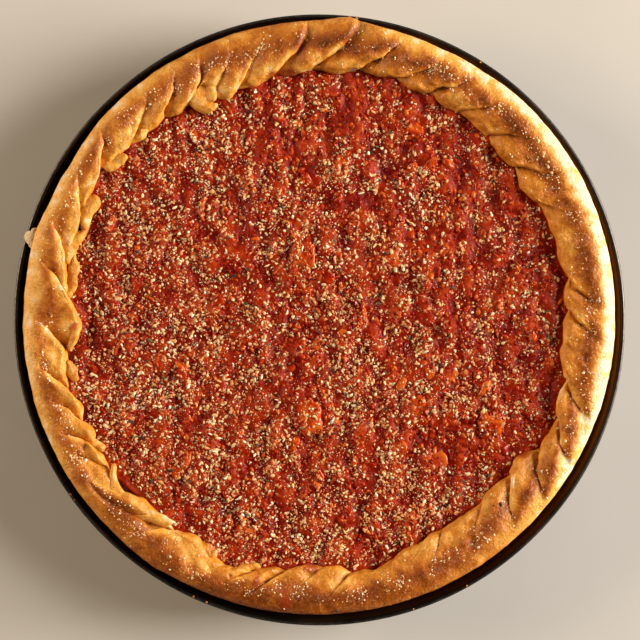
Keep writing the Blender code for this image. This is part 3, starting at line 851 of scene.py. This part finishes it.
def makeSmallTomato(material):
    rng = np.random.default_rng(seeds["bits"])
    count = tomatoPieces["small"]
    radius = tomatoPieces["reach"] * np.sqrt(rng.uniform(0, 1, count))
    spots = onCircle(rng.uniform(0, 360, count), radius, np.zeros(count))
    spots[:, 2] = toppingHeight(spots)[0] - tomatoPieces["sunk"]
    sizes = rng.uniform(*tomatoPieces["smallSize"], (count, 3)) / 2 * mm
    sizes[:, 2] *= 0.55
    sizes[:, 1] *= rng.uniform(1.0, 2.2, count)
    turns = lyingTurns(count, rng, 0.2, 0.8)
    ball = ballShape(tomatoPieces["smallSubdivisions"])
    points, faces, copy = scatterCopies(ball, spots, sizes, turns, 0.0, rng)
    for width, size in tomatoPieces["smallRough"]:
        points = points + size * mm * noisePush(points, width * mm, (1.0, 25.0, 59.0))
    ripe = (0.1 + 0.9 * rng.beta(1.6, 2.0, count))[copy]
    return meshPiece("tomatoBits", points, faces, material, {"ripe": ripe})


def makePulp(material, drop):
    # shreds and grains of pulp all over the surface, red to orange
    rng = np.random.default_rng(seeds["pulp"])
    count = tomatoPieces["pulp"]
    angle, share = rng.uniform(0, 360, count), np.sqrt(rng.uniform(0, 1, count))
    spots = onCircle(angle, share * (toppingEdge(angle) - tomatoPieces["pulpGap"]), np.zeros(count))
    form = np.stack([rng.uniform(*span, count) for span in ((0.7, 1.3), (1.0, 2.6), (0.4, 0.8))], -1)
    sizes = rng.uniform(*tomatoPieces["pulpSize"], (count, 1)) * form / 2 * mm
    spots[:, 2] = drop(spots) - rng.uniform(0.1, 0.7, count) * sizes[:, 2]
    turns = lyingTurns(count, rng, 0.25, 1.1)
    points, faces, copy = scatterCopies(ballShape(1), spots, sizes, turns, 0.25, rng)
    ripe = unit(rng.beta(1.5, 2.0, count) + 0.3 * noiseAt(spots, 18 * mm, 3.0))[copy]
    return meshPiece("tomatoPulp", points, faces, material, {"ripe": ripe})


# grated cheese: loose crumbs at true size, some sunk in the tomato

cheese = {
    # how many, and their half sizes in mm; how much they tip, how uneven they are
    "coarse": 8700, "coarseSize": (0.38, 0.95), "fine": 22000, "fineSize": (0.2, 0.42), "tilt": 0.4, "uneven": 0.34,
    "onCrust": 1900, "onCrustSize": (0.2, 0.62),
    # it fell thicker in patches of these sizes, and on one side: size, how much, which noise
    "base": 0.42, "patches": ((26 * mm, 0.5, 6.0), (8.0 * mm, 0.6, 2.0), (3.4 * mm, 0.5, 14.0)),
    "side": 215.0, "sideMore": 0.18, "gap": 3.2 * mm,
}


def cheeseSpots(count, rng):
    # places on the topping, thicker in some patches and towards the left and the foot
    found = np.zeros((0, 3))
    while len(found) < count:
        angle = rng.uniform(0, 360, count)
        share = np.sqrt(rng.uniform(0, 1, count))
        spots = onCircle(angle, share * (toppingEdge(angle) - cheese["gap"]), np.zeros(count))
        thick = cheese["base"] + sum(more * noiseAt(spots, size, shift) for size, more, shift in cheese["patches"])
        thick += cheese["sideMore"] * np.cos(np.radians(angle - cheese["side"])) * share
        found = np.concatenate([found, spots[rng.uniform(0, 1, count) < thick]])
    return found[:count]


def surfaceBelow(pieces):
    # returns a function that drops places straight down onto the joined surface of some pieces
    points = np.concatenate([[v.co[:] for v in piece.data.vertices] for piece in pieces])
    faces, start = [], 0
    for piece in pieces:
        faces += [[start + i for i in face.vertices] for face in piece.data.polygons]
        start += len(piece.data.vertices)
    tree = BVHTree.FromPolygons(points.tolist(), faces)

    def drop(spots):
        heights = []
        for x, y, _ in spots.tolist():
            hit = tree.ray_cast(Vector((x, y, 0.1)), Vector((0, 0, -1)))[0]
            heights.append(hit.z if hit else topping["height"])
        return np.array(heights)
    return drop


def makeCheese(name, kind, shape, material, drop):
    rng = np.random.default_rng(seeds[kind])
    count = cheese[kind]
    spots = cheeseSpots(count, rng)
    # short shreds and crumbs of them
    form = np.stack([rng.uniform(*span, count) for span in ((0.8, 2.0), (0.6, 1.1), (0.45, 0.85))], -1)
    sizes = rng.uniform(*cheese[kind + "Size"], (count, 1)) * form * mm
    spots[:, 2] = drop(spots) + rng.uniform(-0.75, 0.45, count) * sizes[:, 2]
    points, faces, copy = scatterCopies(
        shape, spots, sizes, lyingTurns(count, rng, cheese["tilt"]), cheese["uneven"], rng)
    toasted = unit(rng.beta(1.7, 1.9, count) + 0.12 * noiseAt(spots, 30 * mm, 8.0))
    return meshPiece(name, points, faces, material, {"toasted": toasted[copy]}, smooth=False)


def makeCrustCheese(material, grid, normal, level, ridge):
    # most of it lies along the ridges, none where the skin is steep
    rng = np.random.default_rng(seeds["crustCheese"])
    weight = bump(ridge, -0.1, 0.17) + 0.1 * (level > 0.05) * (level < 0.93)
    weight = weight * np.clip(0.5 + 1.3 * noiseAt(grid, 11 * mm, 5.0), 0.02, 2) * (np.abs(normal[..., 2]) > 0.5)
    chosen = rng.choice(weight.size, cheese["onCrust"], replace=False, p=(weight / weight.sum()).ravel())
    sizes = rng.uniform(*cheese["onCrustSize"], (len(chosen), 1)) * rng.uniform(0.7, 1.3, (len(chosen), 3)) * mm
    sizes[rng.uniform(0, 1, len(chosen)) < 0.03] *= 1.8
    spots = grid.reshape(-1, 3)[chosen] + normal.reshape(-1, 3)[chosen] * sizes.mean(1)[:, None] * 0.35
    turns = turnMatrices(len(chosen), rng)
    points, faces, copy = scatterCopies(ballShape(1), spots, sizes, turns, 0.25, rng)
    toasted = rng.beta(1.2, 2.0, len(chosen))
    return meshPiece("cheeseOnCrust", points, faces, material, {"toasted": toasted[copy]}, smooth=False)


# dried herbs: thin curled flakes of leaf

herbs = {"count": 260, "length": (1.1, 3.0), "width": (0.5, 1.2), "thickness": 0.16, "lift": 0.6 * mm}


def makeHerbs(material, drop):
    rng = np.random.default_rng(seeds["herbs"])
    count = herbs["count"]
    spots = cheeseSpots(count, rng)
    sizes = np.stack([rng.uniform(*herbs["length"], count), rng.uniform(*herbs["width"], count),
                      np.full(count, herbs["thickness"])], -1) / 2 * mm
    spots[:, 2] = drop(spots) + herbs["lift"]
    turns = lyingTurns(count, rng, 0.3)
    points, faces, copy = scatterCopies(ballShape(2), spots, sizes, turns, 0.2, rng)
    points[:, 2] += 0.25 * mm * noiseAt(points, 1.5 * mm, 2.0)
    tint = rng.uniform(0, 0.7, count)
    return meshPiece("driedHerbs", points, faces, material, {"tint": tint[copy]})


# burnt specks on the crust, and crumbs on the tin's rim

specks = {
    # burnt: direction, mm out, length and width in mm; crumbs: direction, size in mm
    "burnt": ((314.5, 130.6, 1.5, 2.3), (313.2, 128.5, 0.7, 0.8), (273.4, 147.3, 1.6, 1.1),
              (272.6, 148.0, 0.8, 0.8)),
    "crumbs": ((215.0, 0.5), (216.3, 0.4), (245.5, 0.5), (248.2, 0.6), (83.0, 0.7), (84.3, 0.9), (299.0, 0.5),
               (288.0, 0.4), (58.0, 0.5)),
}


def crustTop(grid, angle, radius):
    # highest point of the crust's surface near a direction and distance
    spot = onCircle(np.array(float(angle)), radius, 0.0)
    gap = np.hypot(grid[..., 0] - spot[0], grid[..., 1] - spot[1])
    near = grid[gap < max(1.0 * mm, gap.min() * 1.01)]
    return np.array([spot[0], spot[1], near[:, 2].max()])


def makeSpecks(material, grid):
    rng = np.random.default_rng(seeds["specks"])
    spots = np.array([crustTop(grid, d, r * mm) for d, r, _, _ in specks["burnt"]])
    sizes = np.array([(a, b, 0.35) for _, _, a, b in specks["burnt"]]) / (2, 2, 1) * mm
    turns = np.repeat(np.eye(3)[None], len(spots), 0)
    points, faces, _ = scatterCopies(ballShape(4), spots, sizes, turns, 0.0, rng)
    points += 0.25 * mm * noisePush(points, 0.9 * mm, (1.0, 5.0, 9.0))
    return meshPiece("burntSpecks", points, faces, material)


def makeCrumbs(material):
    rng = np.random.default_rng(seeds["crumbs"])
    directions = np.array([d for d, _ in specks["crumbs"]])
    sizes = np.array([(s, s, s * 0.8) for _, s in specks["crumbs"]]) * mm
    spots = onCircle(directions, tin["rimRadius"] - tin["beadRadius"], tin["rimHeight"] + 0.2 * mm)
    turns = turnMatrices(len(spots), rng)
    points, faces, _ = scatterCopies(ballShape(2), spots, sizes, turns, 0.2, rng)
    return meshPiece("rimCrumbs", points, faces, material, {"brownAndShade": np.full(len(points), 0.3)})


# floor, lights and camera

studio = {
    "floorHalf": 3.0, "floorSteps": 25, "world": "#E4D9CC", "worldStrength": 0.09,
    # each light: name, direction in degrees, height above the horizon, distance, width, watts, colour
    "lights": (
        ("keyWindow", 9, 27, 2.2, 1.0, 71, "#FFF4E6"),
        ("lowWindow", 4, 11, 2.3, 0.58, 46, "#FFF4E6"),
        ("fillLeft", 166, 20, 2.4, 1.28, 56, "#FFE2BC"),
    ),
    "lens": 100.0, "sensor": 36.0, "aside": 0.25 * mm,
    "rimShare": 306 / 320,              # the rim's radius as a share of half the picture's width
}


def makeFloor(material):
    side = np.linspace(-studio["floorHalf"], studio["floorHalf"], studio["floorSteps"])
    x, y = np.meshgrid(side, side)
    points = np.stack([x.ravel(), y.ravel(), np.zeros(x.size)], -1)
    floor = meshPiece("paleFloor", points, sheetFaces(np.arange(x.size).reshape(x.shape)), material)


def makeLights():
    for name, direction, height, distance, width, watts, colour in studio["lights"]:
        lamp = bpy.data.lights.new(name, "AREA")
        lamp.shape = "SQUARE"
        lamp.size = width
        lamp.energy = watts
        lamp.color = hexColour(colour)[:3]
        thing = bpy.data.objects.new(name, lamp)
        rise = math.radians(height)
        where = onCircle(np.array(float(direction)), distance * math.cos(rise), distance * math.sin(rise))
        thing.location = where
        thing.rotation_euler = (-Vector(where)).to_track_quat("-Z", "Y").to_euler()
        thing.visible_camera = False
        bpy.context.scene.collection.objects.link(thing)
    world = bpy.data.worlds.new("softRoom")
    world.use_nodes = True
    looks = {"Color": hexColour(studio["world"]), "Strength": studio["worldStrength"]}
    fillInputs(world.node_tree, world.node_tree.nodes["Background"], looks)
    bpy.context.scene.world = world


def makeCamera():
    # straight overhead: the rim fills the frame as far as rimShare says
    data = bpy.data.cameras.new("overheadCamera")
    data.lens = studio["lens"]
    data.sensor_width = studio["sensor"]
    half = tin["rimRadius"] / studio["rimShare"]
    distance = half / (studio["sensor"] / 2 / studio["lens"])
    data.clip_end = 20
    camera = bpy.data.objects.new("overheadCamera", data)
    camera.location = (studio["aside"], 0, tin["rimHeight"] + distance)
    bpy.context.scene.collection.objects.link(camera)
    bpy.context.scene.camera = camera


def build():
    dough = bakedDoughMaterial()
    grated = gratedCheeseMaterial()
    flesh = tomatoFleshMaterial()
    settle(makeTin(seasonedSteelMaterial()), "tin", "pan")
    crustPiece, grid, normal, level, ridge = makeCrust(dough)
    settle(crustPiece, "crust", "crust")
    settle(makeFlaps(dough), "crust")
    under = [makeTopping(crushedTomatoMaterial())]
    settle(under[0], "tomato", "tomato_topping")
    nodes = sorted(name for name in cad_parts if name.startswith("tomato_piece"))
    for number, node in enumerate(nodes, 1):
        under.append(makeTomatoPiece(node, flesh, number))
        settle(under[-1], "tomato_pieces", node)
    under.append(makeSmallTomato(flesh))
    settle(under[-1], "tomato_pieces")
    under.append(makePulp(flesh, surfaceBelow(under)))
    settle(under[-1], "tomato_pieces")
    drop = surfaceBelow(under)
    settle(makeCheese("gratedCheeseCoarse", "coarse", ballShape(1), grated, drop), "cheese")
    settle(makeCheese("gratedCheeseFine", "fine", diamondShape(), grated, drop), "cheese")
    settle(makeCrustCheese(grated, grid, normal, level, ridge), "cheese")
    settle(makeHerbs(driedHerbMaterial(), drop), "herbs")
    settle(makeSpecks(scorchMaterial(), grid), "crust")
    settle(makeCrumbs(dough), "crust")
    makeFloor(paleFloorMaterial())
    makeLights()
    makeCamera()
    bpy.context.scene.view_settings.view_transform = "Standard"


build()
